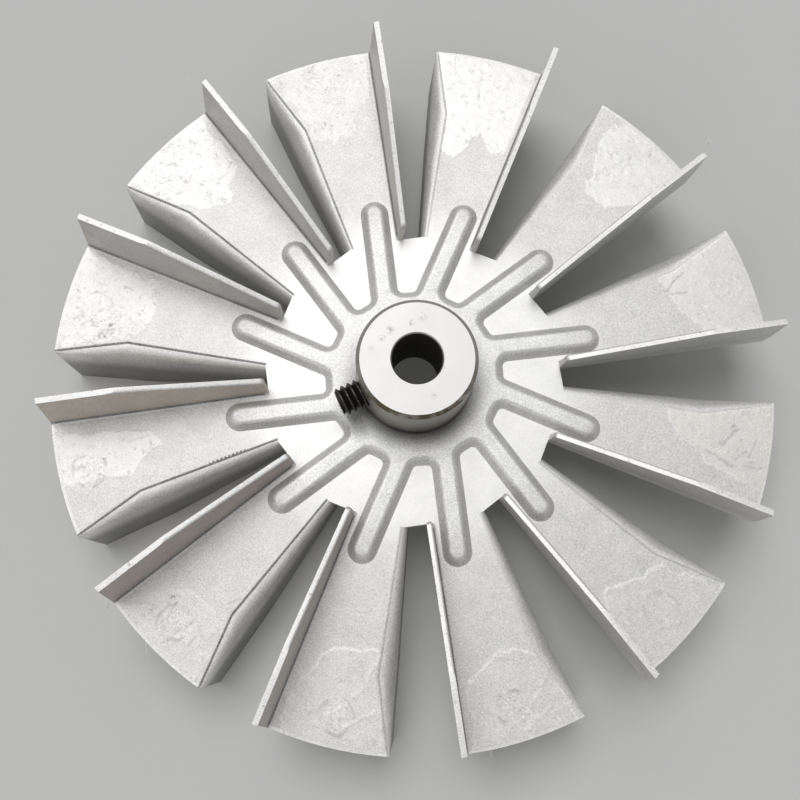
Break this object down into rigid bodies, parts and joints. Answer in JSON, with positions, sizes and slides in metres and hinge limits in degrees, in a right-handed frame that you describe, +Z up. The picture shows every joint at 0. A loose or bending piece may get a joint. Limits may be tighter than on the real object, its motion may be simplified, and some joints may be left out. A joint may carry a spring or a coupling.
{
  "type": "fan impeller",
  "caption": "Die-cast double-paddle axial fan impeller with radial ribs, Z-section blades, a turned hub with a plain bore and a set screw",
  "frame": {"origin": "On the bore axis at the level of the lower fins' bottom edges, on which the wheel rests", "axes": "+Z up along the bore axis through the hub; the set screw points to 205 degrees counter-clockwise from +X"},
  "size_m": [0.1204, 0.1204, 0.0271],
  "materials": {
    "cast": "blasted die casting, satin",
    "hub": "turned, fine satin",
    "screw": "black oxide"
  },
  "bodies": {
    "root": {"impeller": "cast", "hub": "hub", "set_screw": "screw"}
  },
  "joints": []
}
